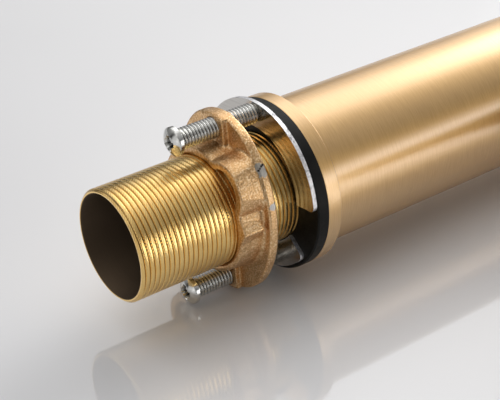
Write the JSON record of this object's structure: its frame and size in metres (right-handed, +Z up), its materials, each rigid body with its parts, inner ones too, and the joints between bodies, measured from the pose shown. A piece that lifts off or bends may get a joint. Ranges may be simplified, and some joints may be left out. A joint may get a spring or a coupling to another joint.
{
  "type": "basin mixer tap",
  "caption": "Upright basin mixer with a round body, bent spout and top lever, and a threaded shank with rubber and steel washers, a cast nut and jack screws.",
  "frame": {"origin": "centre of the base ring's underside, where the tap stands on the deck", "axes": "+Z up along the shank and body; -Y forward, the way the spout and lever point; +X to the right as seen from behind the spout, so hot is on -X"},
  "size_m": [0.054, 0.1523, 0.2272],
  "materials": {
    "machined_brass": "machined and lightly polished",
    "brushed_gold": "brushed round the body, golden bronze coating",
    "cast_bronze": "sand cast, dull and grainy",
    "washer_steel": "rolled sheet with a sheared edge",
    "screw_zinc": "bright zinc plate",
    "pin_steel": "ground",
    "black_rubber": "satin moulded rubber",
    "cartridge_plastic": "moulded",
    "carrier_plastic": "moulded",
    "ceramic": "lapped ceramic",
    "plug_plastic": "moulded",
    "insert_plastic": "moulded"
  },
  "bodies": {
    "tap_body": {"shank": "machined_brass", "base_ring": "brushed_gold", "base_seal": "black_rubber", "body_shell": "brushed_gold", "valve_block": "machined_brass", "cartridge_base": "cartridge_plastic", "port_seals": "black_rubber", "disc_seals": "black_rubber", "cartridge_housing": "cartridge_plastic", "fixed_disc": "ceramic", "cartridge_retainer": "machined_brass", "dome_cover": "brushed_gold", "spout": "brushed_gold", "spout_nipple": "machined_brass", "nipple_seals": "black_rubber", "spout_screw": "pin_steel"},
    "rubber_ring": {"rubber_washer": "black_rubber"},
    "split_ring": {"split_washer": "washer_steel"},
    "nut": {"mounting_nut": "cast_bronze"},
    "screw_left": {"jack_screw_left": "screw_zinc"},
    "screw_right": {"jack_screw_right": "screw_zinc"},
    "sleeve": {"cartridge_sleeve": "carrier_plastic", "pivot_pin": "pin_steel"},
    "disc": {"moving_disc": "ceramic", "disc_carrier": "carrier_plastic"},
    "handle": {"spindle": "machined_brass", "handle_cap": "brushed_gold", "lever": "brushed_gold", "handle_screw": "pin_steel", "index_plug": "plug_plastic"},
    "straightener": {"aerator_insert": "insert_plastic", "aerator_gasket": "black_rubber"},
    "aerator": {"aerator_housing": "brushed_gold"}
  },
  "joints": [
    {"name": "split_washer_slide", "type": "slide", "parent": "tap_body", "child": "split_ring", "axis": [0, 0, -1], "range_m": [0, 0.0391]},
    {"name": "rubber_washer_slide", "type": "slide", "parent": "tap_body", "child": "rubber_ring", "axis": [0, 0, -1], "range_m": [0, 0.0391]},
    {"name": "nut_turn", "type": "hinge", "parent": "split_ring", "child": "nut", "pos_m": [0, 0, -0.0193], "axis": [0, 0, -1], "range_deg": [0, 9360]},
    {"name": "jack_screw_left_slide", "type": "slide", "parent": "nut", "child": "screw_left", "axis": [0, 0, -1], "range_m": [0, 0.009]},
    {"name": "jack_screw_right_slide", "type": "slide", "parent": "nut", "child": "screw_right", "axis": [0, 0, -1], "range_m": [0, 0.009]},
    {"name": "handle_turn", "type": "hinge", "parent": "tap_body", "child": "sleeve", "pos_m": [0, 0, 0.144], "axis": [0, 0, 1], "range_deg": [-50, 50]},
    {"name": "handle_lift", "type": "hinge", "parent": "sleeve", "child": "handle", "pos_m": [0, 0, 0.144], "axis": [-1, 0, 0], "range_deg": [0, 25]},
    {"name": "disc_slide", "type": "slide", "parent": "sleeve", "child": "disc", "axis": [0, -1, 0], "range_m": [0, 0.004]},
    {"name": "aerator_drop", "type": "slide", "parent": "tap_body", "child": "straightener", "axis": [0, 0, -1], "range_m": [0, 0.006]},
    {"name": "aerator_turn", "type": "hinge", "parent": "straightener", "child": "aerator", "pos_m": [0, -0.115, 0.074], "axis": [0, 0, -1], "range_deg": [0, 2160]}
  ],
  "couplings": [
    {"joint": "split_washer_slide", "follows": "nut_turn", "m_per_rad": 0.00023873},
    {"joint": "rubber_washer_slide", "follows": "nut_turn", "m_per_rad": 0.00023873},
    {"joint": "disc_slide", "follows": "handle_lift", "m_per_rad": 0.0091},
    {"joint": "aerator_drop", "follows": "aerator_turn", "m_per_rad": 0.00015915}
  ]
}
